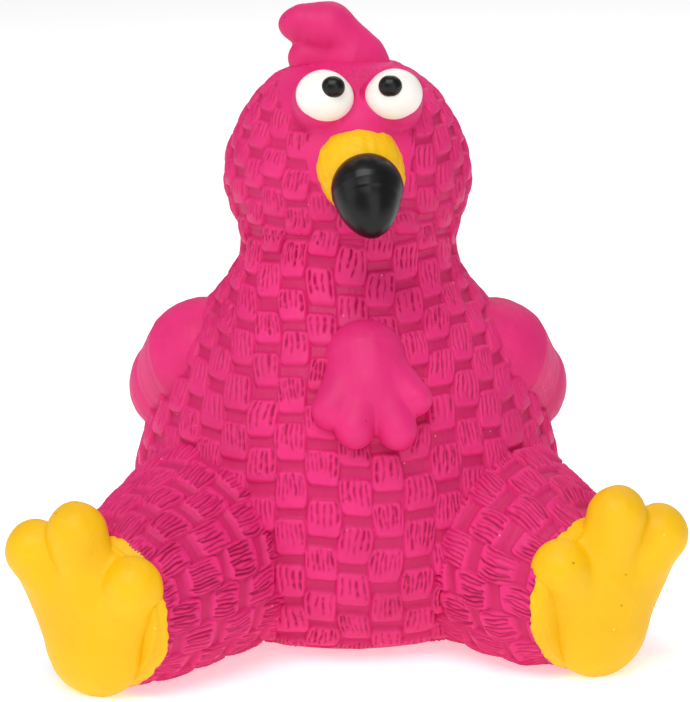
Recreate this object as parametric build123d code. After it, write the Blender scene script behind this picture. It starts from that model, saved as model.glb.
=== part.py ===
from build123d import *

import math
import os

# A seated rubber chicken: a stuffed latex squeaky toy, about 144 mm tall and 149 mm wide.
#
# Millimetres, +Z up. The bird faces -Y, so its own left is +X. The origin is on the floor, on the body's upright
# axis. The latex skins are hollow and hold a fibre filling, and a reed squeaker is snapped into the seat.
# The neck, the hips and the root of the crest are where the latex bends. Each has a round root, so that a piece
# turns there with an even gap.

# ---- driving dimensions ----
SKIN = 2.5  # latex wall
GAP = 0.3  # room between a skin and what it holds
TURN = 6.5  # the face and the breast look this many degrees to the bird's left

SEAT_R = 34.0  # flat ring that the toy sits on
BELLY_R = 50.0  # widest part of the body
BELLY_Z = 33.0
CHEST_R = 45.0
CHEST_Z = 53.0
SHOULDER_R = 35.5
SHOULDER_Z = 70.5
NECK_R = 25.3
NECK_Z = 87.0

HEAD_R = 28.8
HEAD_Z = 102.8
NECK_HOLE_R = 15.0  # the body's and the head's hollows meet here

CREST_ROOT = (-1.0, 0.0, 131.6)
CREST_ROOT_R = 4.2
CREST_GAP = 1.0  # room under the crest, so that it can flop

HIP_Z = 24.0
HIP_R = 20.0
THIGH_R = 22.3
ANKLE_R = 19.0
ANKLE_Z = 19.3  # the legs slope down a little to the feet
LEG_REACH = 64.0  # longer than a leg, which the foot's back face then cuts off
LEG_LIFT = 10.0  # degrees a leg bends up
LEG_ROOM = 4.5  # room round each leg in the body's filling, so that the leg can lift
HIPS = {"right": Vector(-22.0, -18.0, HIP_Z), "left": Vector(22.0, -14.0, HIP_Z)}

HEEL_R = 11.3
HEELS = {"right": Vector(-55.2, -64.4, HEEL_R), "left": Vector(55.8, -51.2, HEEL_R)}
FOOT_TURN = {"right": -26.0, "left": 24.0}  # bearing that each sole faces
FOOT_THICK = 11.0
TOES = [(14.5, 19.3, 6.6), (3.9, 24.6, 6.7), (-9.5, 14.6, 6.2)]  # out, up and radius, from the heel's centre
TOE_ROOT = 0.14  # where a toe starts, as a share of the way from the heel
WEBS = [(10.2, 21.9), (-5.8, 18.3)]  # how far up the web between two toes reaches

EYE_R = 6.5
PUPIL_R = 3.0
BEAK_BASE_R = 10.9

SQUEAKER_Y = 12.0
SQUEAKER_R = 10.0
PLUG_TOP = 13.0


# ---- helpers ----
def polar(radius, bearing, z):
    """A point at a bearing in degrees, counted from straight ahead towards the bird's left."""
    angle = math.radians(bearing)
    return Vector(radius * math.sin(angle), -radius * math.cos(angle), z)


def turned(shape):
    """Turns a shape made facing straight ahead to the way that the face looks."""
    return Rot(0, 0, TURN) * shape


def ball(centre, radius):
    """A sphere at a point."""
    return Pos(*centre) * Sphere(radius)


def head_ball(grow=0.0):
    """The ball that the head is made on."""
    return ball((0, 0, HEAD_Z), HEAD_R + grow)


def rounded_cone(start, end, start_r, end_r):
    """Two balls and the cone that touches them both."""
    axis = Vector(*end) - Vector(*start)
    length = axis.length
    lean = math.asin((start_r - end_r) / length)
    quarter = math.pi / 2

    def on_ball(z, radius, angle):
        return radius * math.cos(angle), z + radius * math.sin(angle)

    low, high = on_ball(0, start_r, lean), on_ball(length, end_r, lean)
    outline = [
        ThreePointArc((0, -start_r), on_ball(0, start_r, (lean - quarter) / 2), low),
        Line(low, high),
        ThreePointArc(high, on_ball(length, end_r, (lean + quarter) / 2), (0, length + end_r)),
        Line((0, length + end_r), (0, -start_r)),
    ]
    solid = revolve(Plane.XZ * make_face(outline), Axis.Z)
    return Plane(origin=Vector(*start), z_dir=axis) * solid


def fused(shapes):
    """Several overlapping shapes as one."""
    whole = shapes[0]
    for shape in shapes[1:]:
        whole = whole + shape
    return whole


def biggest(shape):
    """The largest solid of a shape, without the crumbs that a cut can leave."""
    return max(shape.solids(), key=lambda solid: solid.volume)


# ---- body ----
def body_form(inset=0.0):
    """The pear-shaped body, turned on its upright axis. An inset makes it smaller all round."""
    top = NECK_Z + 5
    side = [
        (SEAT_R - 0.6 * inset, inset),
        (45.0 - inset, 9.0 + 0.4 * inset),
        (BELLY_R - inset, BELLY_Z),
        (CHEST_R - 0.85 * inset, CHEST_Z - 0.5 * inset),
        (SHOULDER_R - 0.85 * inset, SHOULDER_Z - 0.5 * inset),
        (NECK_R - inset, NECK_Z),
    ]
    outline = [
        Line((0, inset), side[0]),
        ThreePointArc(*side[0:3]),
        Spline(side[2:6], tangents=[(0, 1), (0, 1)]),
        Line(side[5], (side[5][0], top)),
        Line((side[5][0], top), (0, top)),
        Line((0, top), (0, inset)),
    ]
    return revolve(Plane.XZ * make_face(outline), Axis.Z)


def squeaker_hole():
    """The stepped hole in the seat that the squeaker's groove snaps into."""
    recess = Pos(0, SQUEAKER_Y, 0.9) * Cylinder(SQUEAKER_R + 3.2, 1.8)
    neck = Pos(0, SQUEAKER_Y, 3.0) * Cylinder(SQUEAKER_R, 8.0)
    return recess + neck


def make_torso_skin():
    """The woven latex body: a hollow pear with a thick ring round the squeaker's hole, a cup for the head and
    a hole for each leg."""
    ring = Pos(0, SQUEAKER_Y, 2.3) * Cylinder(SQUEAKER_R + 6.0, 4.6)
    shell = body_form() - body_form(SKIN) + ring - squeaker_hole() - head_ball(GAP + 0.05)
    return without_legs(shell, 2 * GAP)


def make_torso_filling():
    """The fibre inside the body."""
    fill = body_form(SKIN + GAP) - head_ball(1.0)
    fill = fill - Pos(0, SQUEAKER_Y, 8) * Cylinder(SQUEAKER_R + 6.3, 16.0)
    for name in HIPS:
        fill = fill - leg_form(name, LEG_ROOM, LEG_LIFT / 2)
    return biggest(fill)


# ---- head ----
def make_head_skin():
    """The woven latex head: a hollow ball, open below, with a thick socket at the crest's root."""
    socket = ball(CREST_ROOT, CREST_ROOT_R + 2.3) & head_ball()
    shell = head_ball() - head_ball(-SKIN) + socket - ball(CREST_ROOT, CREST_ROOT_R + GAP)
    return biggest(shell - Pos(0, 0, HEAD_Z - HEAD_R) * Cylinder(NECK_HOLE_R, 12.0))


def make_head_filling():
    """The fibre inside the head."""
    fill = head_ball(-SKIN - GAP) - ball(CREST_ROOT, CREST_ROOT_R + 2.6)
    return biggest(fill - Pos(0, 0, HEAD_Z - HEAD_R) * Box(80, 80, 9.0))


def make_crest():
    """Two lobes of plain latex that sweep across the top of the head, with the tips to the bird's right."""
    lobes = [
        rounded_cone((3.0, 0, 132.4), (-5.6, 0, 138.2), 4.6, 6.2),
        rounded_cone((-5.6, 0, 138.2), (-11.6, 0, 138.6), 6.2, 4.5),
        rounded_cone((0.6, 0, 132.0), (-9.6, 0, 131.3), 5.8, 4.4),
    ]
    return biggest(fused(lobes) - head_ball(CREST_GAP) + ball(CREST_ROOT, CREST_ROOT_R))


def eye_centre(side):
    """The centre of an eyeball. Side is 1 for the bird's left and -1 for its right."""
    return Vector(side * 7.7, -22.0, 124.8)


def make_eye(side):
    """A bulging white eyeball that stands on the head."""
    return turned(biggest(ball(eye_centre(side), EYE_R) - head_ball()))


def make_pupil(side):
    """A small black dome on an eyeball, turned in and up."""
    gaze = Vector(-side * 1.4, -5.0, 3.4).normalized()
    dome = ball(eye_centre(side) + gaze * (EYE_R - 1.7), PUPIL_R)
    return turned(biggest(dome - ball(eye_centre(side), EYE_R)))


def beak_dome():
    """The ball that the yellow root of the beak is a cap of."""
    return ball((0, -23.4, 108.2), BEAK_BASE_R)


def make_beak_base():
    """The yellow root of the beak, a low dome on the face."""
    return turned(biggest(beak_dome() - head_ball()))


def make_beak_tip():
    """The black bill: broad above and hooked down to a blunt point."""
    bill = rounded_cone((0.5, -33.8, 106.0), (0.3, -38.6, 98.9), 7.9, 2.6)
    return turned(biggest(bill - beak_dome() - head_ball()))


# ---- plain latex pieces on the body ----
def make_wing(side):
    """A fat folded wing on the bird's flank: a round front and three feather lobes behind."""
    root = polar(33.2, side * 88.0, 59.2)
    lobes = [
        rounded_cone(root, polar(39.4, side * 98.0, 53.4), 16.4, 12.0),
        rounded_cone(root, polar(41.5, side * 126.0, 51.0), 15.5, 6.5),
        rounded_cone(root, polar(41.0, side * 134.0, 60.0), 15.0, 6.2),
        rounded_cone(root, polar(36.5, side * 136.0, 69.0), 14.5, 5.8),
    ]
    return biggest(fused(lobes) - body_form())


def make_breast_tuft():
    """A plain tuft on the breast that ends in four feather lobes."""
    crown = (0, -34.8, 67.4)
    ends = [(-8.8, -43.6, 58.4, 4.2), (-3.6, -46.6, 54.6, 4.4), (6.0, -46.4, 54.4, 4.4), (9.8, -43.4, 60.4, 3.8)]
    lobes = [rounded_cone(crown, (x, y, z), 9.2, radius) for x, y, z, radius in ends]
    return turned(biggest(fused(lobes) - body_form()))


def make_tail():
    """A short plain tail of three lobes, low on the back."""
    ends = [(-10.0, 54.0, 40.0), (0.0, 56.5, 44.0), (10.0, 54.0, 40.0)]
    lobes = [rounded_cone((0, 41.0, 31.0), end, 9.5, 5.4) for end in ends]
    return biggest(fused(lobes) - body_form())


# ---- legs and feet ----
def foot_plane(name):
    """A plane in the middle of the foot's slab, at the heel's centre: its normal is the way the sole faces."""
    return Plane(origin=HEELS[name], x_dir=polar(1, FOOT_TURN[name] + 90, 0), z_dir=polar(1, FOOT_TURN[name], 0))


def leg_plane(name):
    """A plane at the hip, with its normal along the leg, towards the foot, and its x direction up."""
    along = Vector(HEELS[name].X, HEELS[name].Y, ANKLE_Z) - HIPS[name]
    level = along.cross(Vector(0, 0, 1))
    return Plane(origin=HIPS[name], x_dir=level.cross(along), z_dir=along)


def leg_form(name, grow=0.0, lift=0.0):
    """The leg as a turned solid: a round root, a full thigh and an ankle. Lift bends it up at the hip."""
    root, thigh, ankle = HIP_R + grow, THIGH_R + grow, ANKLE_R + grow
    slant = root * math.sqrt(0.5)
    outline = [
        ThreePointArc((0, -root), (slant, -slant), (root, 0)),
        Spline([(root, 0), (thigh, 0.3 * LEG_REACH), (ankle, 0.75 * LEG_REACH)], tangents=[(0, 1), (0, 1)]),
        Line((ankle, 0.75 * LEG_REACH), (ankle, LEG_REACH)),
        Line((ankle, LEG_REACH), (0, LEG_REACH)),
        Line((0, LEG_REACH), (0, -root)),
    ]
    solid = revolve(Plane.XZ * make_face(outline), Axis.Z)
    return leg_plane(name) * Rot(0, lift, 0) * solid


def without_legs(shape, grow):
    """Cuts away the space that both legs take up over their whole travel, and a little more."""
    for name in HIPS:
        for lift in (0, LEG_LIFT / 2, LEG_LIFT):
            shape = shape - leg_form(name, grow, lift)
    return biggest(shape)


def cut_at_foot(name, shape, gap=0.0):
    """Cuts a leg off at the foot's back face."""
    back = foot_plane(name).offset(-FOOT_THICK / 2 - gap)
    return biggest(split(shape, bisect_by=back, keep=Keep.BOTTOM))


def hip_opening(name):
    """A block that opens the leg's hollow at the hip."""
    return leg_plane(name) * Pos(0, 0, -HIP_R) * Cylinder(HIP_R, 18.0)


def make_leg_skin(name):
    """The woven latex leg: hollow, open at the hip and closed at the foot."""
    hollow = cut_at_foot(name, leg_form(name, -SKIN), SKIN)
    return biggest(cut_at_foot(name, leg_form(name)) - hollow - hip_opening(name))


def make_leg_filling(name):
    """The fibre inside a leg."""
    return cut_at_foot(name, leg_form(name, -SKIN - GAP) - hip_opening(name), SKIN + GAP)


def make_foot(name):
    """A thick yellow foot: a blunt heel, three round toes and the web between them."""
    toes = [
        rounded_cone((TOE_ROOT * out, TOE_ROOT * up, 0), (out, up, 0), 0.93 * HEEL_R, radius)
        for out, up, radius in TOES
    ]
    corners = [(0, 0), TOES[0][:2], WEBS[0], TOES[1][:2], WEBS[1], TOES[2][:2]]
    web = extrude(make_face(Polyline(corners, close=True)), FOOT_THICK, both=True)
    solid = biggest(fused([Sphere(HEEL_R), *toes, web]) & Box(120, 120, FOOT_THICK))
    if name == "right":
        solid = mirror(solid, about=Plane.YZ)
    return foot_plane(name) * solid


# ---- squeaker ----
def make_squeaker_housing():
    """A plastic bush with a flange on each side of the latex, and a round well above."""
    outer = Pos(0, SQUEAKER_Y, 1.1) * Cylinder(SQUEAKER_R + 2.8, 1.2)
    neck = Pos(0, SQUEAKER_Y, 3.3) * Cylinder(SQUEAKER_R - 0.2, 3.2)
    inner = Pos(0, SQUEAKER_Y, 5.4) * Cylinder(SQUEAKER_R + 1.8, 1.0)
    well = Pos(0, SQUEAKER_Y, 9.4) * Cylinder(SQUEAKER_R - 1.4, 7.2)
    bore = Pos(0, SQUEAKER_Y, 7.0) * Cylinder(SQUEAKER_R - 3.0, 14.0)
    return outer + neck + inner + well - bore


def make_squeaker_cap():
    """The plastic cap that closes the well, with a round hole for the reed block."""
    disc = Pos(0, SQUEAKER_Y, PLUG_TOP + 0.7) * Cylinder(SQUEAKER_R - 1.4, 1.4)
    return disc - Pos(0, SQUEAKER_Y, PLUG_TOP + 0.7) * Cylinder(2.8, 2.0)


def make_reed_block():
    """The hard plastic tube that the reed lies on: its lower half is cut flat, and air goes up its groove."""
    tube = Pos(0, SQUEAKER_Y, 9.2) * Cylinder(2.8, 10.4)
    flat = Pos(0, SQUEAKER_Y - 3.0, 7.4) * Box(8, 6, 8.0)
    groove = Pos(0, SQUEAKER_Y, 9.2) * Cylinder(1.3, 12.0)
    return biggest(tube - flat - groove)


def make_squeaker_reed():
    """The thin brass tongue that shivers over the groove."""
    return Pos(0, SQUEAKER_Y - 0.4, 7.6) * Box(3.4, 0.2, 6.6)


def make_reed_clip():
    """The small half-round wedge that holds the reed's upper end against the block."""
    wedge = Pos(0, SQUEAKER_Y, 10.6) * Cylinder(2.7, 0.9)
    return biggest(wedge & Pos(0, SQUEAKER_Y - 3.6, 10.6) * Box(8, 6.0, 0.9))


def all_pieces():
    """Every piece by the name of its file."""
    pieces = {
        "torso_skin": make_torso_skin(),
        "torso_filling": make_torso_filling(),
        "breast_tuft": make_breast_tuft(),
        "tail": make_tail(),
        "squeaker_housing": make_squeaker_housing(),
        "squeaker_cap": make_squeaker_cap(),
        "squeaker_reed_block": make_reed_block(),
        "squeaker_reed_clip": make_reed_clip(),
        "squeaker_reed": make_squeaker_reed(),
        "head_skin": make_head_skin(),
        "head_filling": make_head_filling(),
        "crest": make_crest(),
        "beak_base": make_beak_base(),
        "beak_tip": make_beak_tip(),
    }
    for name, side in (("left", 1), ("right", -1)):
        pieces[name + "_eye"] = make_eye(side)
        pieces[name + "_pupil"] = make_pupil(side)
        pieces[name + "_wing"] = make_wing(side)
        pieces[name + "_leg_skin"] = make_leg_skin(name)
        pieces[name + "_leg_filling"] = make_leg_filling(name)
        pieces[name + "_foot"] = make_foot(name)
    return pieces


os.makedirs("parts", exist_ok=True)
for node, shape in all_pieces().items():
    export_step(shape, f"parts/{node}.step")
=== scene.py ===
"""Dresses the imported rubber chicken: woven latex, painted feet, eyes and beak, and a squeaker in the seat."""
import logging
import math
from dataclasses import dataclass
from enum import Enum
from functools import lru_cache
from typing import Dict, List, Optional, Sequence, Tuple, Union

import bpy
import numpy as np
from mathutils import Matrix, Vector


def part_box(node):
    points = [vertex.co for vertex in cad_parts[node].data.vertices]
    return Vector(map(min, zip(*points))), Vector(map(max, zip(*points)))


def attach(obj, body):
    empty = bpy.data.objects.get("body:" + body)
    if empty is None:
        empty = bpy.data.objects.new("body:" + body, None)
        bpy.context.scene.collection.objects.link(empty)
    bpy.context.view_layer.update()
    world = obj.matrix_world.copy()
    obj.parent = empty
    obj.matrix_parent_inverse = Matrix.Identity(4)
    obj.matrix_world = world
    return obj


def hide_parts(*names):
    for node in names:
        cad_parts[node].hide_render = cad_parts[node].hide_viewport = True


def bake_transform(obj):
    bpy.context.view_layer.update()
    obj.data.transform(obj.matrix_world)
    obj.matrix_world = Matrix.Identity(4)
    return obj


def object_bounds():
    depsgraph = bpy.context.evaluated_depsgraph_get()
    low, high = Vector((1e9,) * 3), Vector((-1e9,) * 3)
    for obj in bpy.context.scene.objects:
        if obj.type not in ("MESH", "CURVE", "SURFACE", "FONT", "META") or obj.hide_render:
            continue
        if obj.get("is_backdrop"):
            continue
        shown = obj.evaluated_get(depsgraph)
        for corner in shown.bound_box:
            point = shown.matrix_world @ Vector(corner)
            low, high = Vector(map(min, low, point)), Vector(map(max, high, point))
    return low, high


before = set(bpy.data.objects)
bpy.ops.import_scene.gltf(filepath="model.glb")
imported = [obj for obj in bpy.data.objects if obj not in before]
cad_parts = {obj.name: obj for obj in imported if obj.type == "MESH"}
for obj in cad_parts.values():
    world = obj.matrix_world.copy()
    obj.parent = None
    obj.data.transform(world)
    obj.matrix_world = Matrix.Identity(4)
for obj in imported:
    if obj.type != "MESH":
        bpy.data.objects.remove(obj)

CAD_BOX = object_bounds()
MM = 0.001
FOOT_SINK = 0.0002  # how far a heel may press into the ground, in metres
FACE_TURN = math.radians(6.5)  # the face and the breast look this far to the bird's left
PUPIL_RADIUS = 2.4
FAR_MM, HALVINGS = 60.0, 26  # how far out a form is searched for, and how often that span is halved

Array = np.ndarray
Point = Tuple[float, float, float]
Piece = bpy.types.Object
Socket = bpy.types.NodeSocket
log = logging.getLogger("rubber_chicken")


# ---- named choices ----
class Body(Enum):
    """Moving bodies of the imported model."""

    TORSO = "torso"
    HEAD = "head"
    CREST = "crest_flap"
    LEFT_LEG = "left_leg"
    RIGHT_LEG = "right_leg"


class Slot(Enum):
    """Finishes that the record names."""

    PINK = "pink_latex"
    YELLOW = "yellow_latex"
    BLACK = "black_latex"
    WHITE = "white_latex"
    FIBRE = "polyester_fibre"
    PLASTIC = "white_plastic"
    BRASS = "brass"


class Side(Enum):
    """The bird's own sides, as the sign of X."""

    LEFT = 1
    RIGHT = -1


# ---- small sums ----
def linear(code: str) -> Tuple[float, float, float, float]:
    """Turns an sRGB hex colour into a linear one.

    Args:
        code: six hex digits after a hash sign.

    Returns:
        Red, green, blue and an alpha of one.
    """
    parts = [int(code[k : k + 2], 16) / 255 for k in (1, 3, 5)]
    red, green, blue = (c / 12.92 if c <= 0.04045 else ((c + 0.055) / 1.055) ** 2.4 for c in parts)
    return red, green, blue, 1.0


def smooth(low: float, high: float, value: Array) -> Array:
    """Smoothstep of a value between two limits, which may run either way."""
    share = np.clip((value - low) / (high - low), 0, 1)
    return share * share * (3 - 2 * share)


def chance(i: Array, j: Array, salt: int) -> Array:
    """A fixed random number from 0 to 1 for each cell of a pattern.

    Args:
        i: column of each cell.
        j: row of each cell.
        salt: tells one use from another.

    Returns:
        One number for each cell.
    """
    mixed = (i + 4096).astype(np.uint64) * np.uint64(374761393)
    mixed = mixed + (j + 4096).astype(np.uint64) * np.uint64(668265263)
    mixed = (mixed + np.uint64(salt * 2246822519)) & np.uint64(0xFFFFFFFF)
    mixed = ((mixed ^ (mixed >> np.uint64(13))) * np.uint64(1274126177)) & np.uint64(0xFFFFFFFF)
    return ((mixed ^ (mixed >> np.uint64(16))) & np.uint64(0xFFFF)).astype(float) / 65535


def swell(points: Array, wave: float, seed: float = 0.0) -> Array:
    """Slow hand-made unevenness, from -1 to 1, at points in millimetres.

    Args:
        points: places, one row each.
        wave: rough wavelength in millimetres.
        seed: shifts the pattern.

    Returns:
        One height for each point.
    """
    turn = 2 * math.pi / wave
    x, y, z = points.T * turn
    total = np.sin(x + 0.7 * y + seed) * np.cos(0.8 * z - 0.5 * x + 1.3 * seed)
    total += 0.6 * np.sin(1.7 * y - 1.1 * z + 2.1 * seed) * np.cos(1.9 * x + 0.3 * z)
    total += 0.4 * np.sin(2.9 * z + 2.3 * x + seed) * np.sin(2.7 * y - 0.6 * x)
    return total / 2


def polar(radius: float, bearing: float, z: float) -> Point:
    """A point at a bearing in degrees, from straight ahead towards the bird's left."""
    angle = math.radians(bearing)
    return radius * math.sin(angle), -radius * math.cos(angle), z


def ring(r: Array, theta: Array, z: Array) -> Array:
    """Points round the body, one row each, at bearings in radians."""
    return np.stack([r * np.sin(theta), -r * np.cos(theta), z], 1)


def turned(point: Sequence[float]) -> Point:
    """Turns a point made facing straight ahead to the way that the face looks."""
    x, y, z = point
    c, s = math.cos(FACE_TURN), math.sin(FACE_TURN)
    return c * x - s * y, s * x + c * y, z


# ---- material helpers ----
def add_node(tree: bpy.types.NodeTree, kind: str, settings: Dict, links: Dict) -> bpy.types.Node:
    """Adds a shader node.

    Args:
        tree: node tree of the material.
        kind: Blender's name of the node type, without its first word.
        settings: properties by name, or socket values by the socket's name or number.
        links: output sockets to link, by the name or number of this node's input.

    Returns:
        The new node.
    """
    made = tree.nodes.new("ShaderNode" + kind)
    for key, value in settings.items():
        if isinstance(key, str) and hasattr(made, key):
            setattr(made, key, value)
        else:
            made.inputs[key].default_value = value
    for key, output in links.items():
        tree.links.new(output, made.inputs[key])
    return made


class Shading:
    """A material while it is built: its tree, its shader and the object's own coordinates."""

    def __init__(self, name: str) -> None:
        """Starts an empty material."""
        self.material = bpy.data.materials.new(name)
        self.material.use_nodes = True
        self.tree = self.material.node_tree
        self.shader = self.tree.nodes["Principled BSDF"]
        self.place = add_node(self.tree, "TexCoord", {}, {}).outputs["Object"]

    def noise(self, size_mm: float, detail: float, rough: float = 0.5, place: Socket = None) -> Socket:
        """Noise of a size in millimetres, on the object's coordinates unless others are given."""
        settings = {"Scale": 1 / (size_mm * MM), "Detail": detail, "Roughness": rough}
        return add_node(self.tree, "TexNoise", settings, {"Vector": place or self.place}).outputs["Fac"]

    def ramp(self, value: Socket, given: Tuple[float, float], wanted: Tuple[float, float]) -> Socket:
        """Maps one range of values onto another, and holds it there."""
        limits = dict(zip(("From Min", "From Max", "To Min", "To Max"), (*given, *wanted)))
        return add_node(self.tree, "MapRange", limits, {"Value": value}).outputs["Result"]

    def sums(self, operation: str, first: Socket, second: Union[Socket, float]) -> Socket:
        """One sum of an output and either another output or a number."""
        fixed = isinstance(second, float)
        settings = {"operation": operation, **({1: second} if fixed else {})}
        return add_node(self.tree, "Math", settings, {0: first, **({} if fixed else {1: second})}).outputs[0]

    def mix(self, share: Socket, first: Union[Socket, str], second: str) -> Socket:
        """Mixes an output or a hex colour with a second hex colour."""
        fixed = isinstance(first, str)
        settings = {"data_type": "RGBA", 7: linear(second), **({6: linear(first)} if fixed else {})}
        return add_node(self.tree, "Mix", settings, {0: share, **({} if fixed else {6: first})}).outputs[2]

    def finish(
        self, colour: Socket, grain: Socket, roughness: Tuple[float, float], relief: Socket,
        bump: Tuple[float, float], constants: Dict,
    ) -> bpy.types.Material:
        """Joins everything to the shader.

        Args:
            colour: base colour.
            grain: what the roughness follows.
            roughness: the least and the most of it.
            relief: height of the bump.
            bump: strength of the bump, and its depth in millimetres.
            constants: values of the shader's own sockets.

        Returns:
            The finished material.
        """
        strength, depth = bump
        settings = {"Strength": strength, "Distance": depth * MM}
        normal = add_node(self.tree, "Bump", settings, {"Height": relief}).outputs[0]
        rough = self.ramp(grain, (0.0, 1.0), roughness)
        for key, output in (("Base Color", colour), ("Roughness", rough), ("Normal", normal)):
            self.tree.links.new(output, self.shader.inputs[key])
        for key, value in constants.items():
            self.shader.inputs[key].default_value = value
        return self.material


@dataclass(frozen=True)
class Latex:
    """Dip-moulded natural latex under matt paint: satin, faintly translucent, with dust and pinholes."""

    name: str
    # light is the colour as lit; deep is the darker copy, used for the slow drift and for painted shade in the
    # weave's clefts
    light: str
    deep: str
    roughness: float
    dust: str = "#FFC7D8"
    pit: str = "#7A0A30"
    cell_mm: float = 4.2  # one speck or pinhole at most in a cell this wide

    def material(self) -> bpy.types.Material:
        """Builds the material: slow colour drift, painted shade in the weave's clefts, pale specks, dark
        pinholes and a fine grain.

        Returns:
            The material.
        """
        made = Shading(self.name)
        drift = made.ramp(made.noise(18, 3.0), (0.35, 0.7), (0.0, 0.3))
        # Painted shade: the attribute that the weave writes pulls the colour towards the deep copy down in the
        # clefts.
        cleft = add_node(made.tree, "Attribute", {"attribute_name": "cleft"}, {}).outputs["Fac"]
        colour = made.mix(made.sums("MAXIMUM", cleft, drift), self.light, self.deep)
        grain = made.noise(0.55, 4.0, 0.6)
        holes = self.dots(made, self.cell_mm * 1.13, 0.035, 0.55)
        dusty = made.mix(self.dots(made, self.cell_mm, 0.03, 0.6), colour, self.dust)
        spread = (self.roughness - 0.05, self.roughness + 0.09)
        rubber = {
            "IOR": 1.5, "Specular IOR Level": 0.32, "Subsurface Weight": 0.12,
            "Subsurface Radius": (1.0, 0.25, 0.2), "Subsurface Scale": 1.2 * MM,
        }
        relief = made.sums("SUBTRACT", grain, holes)
        return made.finish(made.mix(holes, dusty, self.pit), grain, spread, relief, (0.22, 0.25), rubber)

    def dots(self, made: Shading, cell: float, size: float, rare: float) -> Socket:
        """Scattered dots, each in the middle of a random cell.

        Args:
            made: the material.
            cell: width of a cell in millimetres.
            size: radius of a dot as a share of a cell.
            rare: share of the cells with no dot.

        Returns:
            The output that is greatest on a dot.
        """
        cells = add_node(made.tree, "TexVoronoi", {"Scale": 1 / (cell * MM)}, {"Vector": made.place})
        near = made.ramp(cells.outputs["Distance"], (size, size * 1.8), (0.6, 0.0))
        draw = add_node(made.tree, "SeparateColor", {}, {0: cells.outputs["Color"]}).outputs[0]
        return made.sums("MULTIPLY", near, made.sums("GREATER_THAN", draw, rare))


@dataclass(frozen=True)
class GlossPaint:
    """Brush-dabbed enamel over latex: a wet gloss with faint brush waves."""

    name: str
    colour: str
    second: str
    roughness: float
    wave_mm: float
    thin_z: Tuple[float, float] = (0.0, 0.0)  # heights in millimetres between which the paint runs thin

    def material(self) -> bpy.types.Material:
        """Builds the material; where a height range is given, the second colour gathers at its low end.

        Returns:
            The material.
        """
        made = Shading(self.name)
        wave = made.noise(self.wave_mm, 3.0)
        low, high = self.thin_z
        if high > low:
            height = add_node(made.tree, "SeparateXYZ", {}, {0: made.place}).outputs["Z"]
            share = made.ramp(height, (high * MM, low * MM), (0.0, 0.8))
        else:
            share = made.ramp(wave, (0.45, 0.75), (0.0, 0.6))
        spread = (self.roughness - 0.06, self.roughness + 0.1)
        enamel = {"IOR": 1.5, "Specular IOR Level": 0.32}
        return made.finish(made.mix(share, self.colour, self.second), wave, spread, wave, (0.04, 0.3), enamel)


@dataclass(frozen=True)
class Grained:
    """A plain base with one grain: moulded polypropylene, rolled brass, or matted polyester fibre."""

    name: str
    colour: str
    second: str
    roughness: float
    grain_mm: float
    stretch: Tuple[float, float, float] = (1.0, 1.0, 1.0)
    metallic: float = 0.0
    strength: float = 0.3

    def material(self) -> bpy.types.Material:
        """Builds the material from a noise that may be stretched along one axis.

        Returns:
            The material.
        """
        made = Shading(self.name)
        laid = add_node(made.tree, "Mapping", {"Scale": self.stretch}, {"Vector": made.place}).outputs[0]
        grain = made.noise(self.grain_mm, 5.0, 0.65, laid)
        spread = (self.roughness - 0.08, self.roughness + 0.12)
        colour = made.mix(grain, self.colour, self.second)
        return made.finish(colour, grain, spread, grain, (self.strength, 0.2), {"Metallic": self.metallic})


LOOKS = {
    # Hot-pink pigment in the latex: bright and soft where light grazes it, with painted shade that turns it
    # wine red down in the weave.
    Slot.PINK: Latex("pink_latex_skin", "#E42879", "#A0003A", 0.52),
    # Yellow latex paint, brushed over the feet and the beak's root: warm, eggshell, with fine dark dirt.
    Slot.YELLOW: Latex("yellow_latex_paint", "#F5BF00", "#DB9F00", 0.48, "#FFF3A8", "#6B4A00", 5.0),
    # Black enamel on the beak's tip and the pupils: nearly a mirror on its bumps.
    Slot.BLACK: GlossPaint("black_enamel", "#030303", "#070707", 0.3, 9.0),
    # White enamel on the eyes, with a cream line where it thins over the latex below.
    Slot.WHITE: GlossPaint("white_enamel", "#F7F3EC", "#EADCA8", 0.34, 5.0, (118.2, 122.0)),
    # Moulded polypropylene of the squeaker: off-white, satin.
    Slot.PLASTIC: Grained("moulded_polypropylene", "#E9E7DF", "#D9D6CB", 0.42, 1.5),
    # Rolled brass strip, brushed along its length.
    Slot.BRASS: Grained("rolled_brass_strip", "#C9A04A", "#B08A3C", 0.3, 0.4, (1.0, 0.06, 1.0), 1.0),
    # Carded polyester wadding: matt white fibre, drawn coarser than its 0.02 mm threads so that it shows.
    Slot.FIBRE: Grained("polyester_wadding", "#F2F0EA", "#CFCBC2", 0.85, 0.9, (1.0, 0.35, 0.6), 0.0, 0.8),
}


@lru_cache(maxsize=None)
def finish(slot: Slot) -> bpy.types.Material:
    """The material of a finish, built when it is first asked for."""
    return LOOKS[slot].material()


# ---- mesh helpers ----
def deselect() -> None:
    """Leaves nothing selected or active in object mode."""
    if bpy.context.object and bpy.context.object.mode != "OBJECT":
        bpy.ops.object.mode_set(mode="OBJECT")
    bpy.ops.object.select_all(action="DESELECT")


def read_points(piece: Piece) -> Array:
    """A mesh's vertices as an array, one row each."""
    flat = np.empty(len(piece.data.vertices) * 3)
    piece.data.vertices.foreach_get("co", flat)
    return flat.reshape(-1, 3)


def write_points(piece: Piece, points: Array, cleft: Optional[Array] = None) -> None:
    """Moves a mesh's vertices, and keeps how much painted shade each gets in the weave, for the latex colour.

    Args:
        piece: the piece.
        points: places in metres.
        cleft: how much painted shade each vertex gets in the weave, from 0 to 1, or nothing where there is no
            weave.
    """
    piece.data.vertices.foreach_set("co", points.astype(np.float32).ravel())
    piece.data.update()
    if cleft is not None:
        # The weave's painted shade, which the latex material reads to darken the clefts.
        layer = piece.data.attributes.new("cleft", "FLOAT", "POINT")
        layer.data.foreach_set("value", cleft.astype(np.float32))


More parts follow.
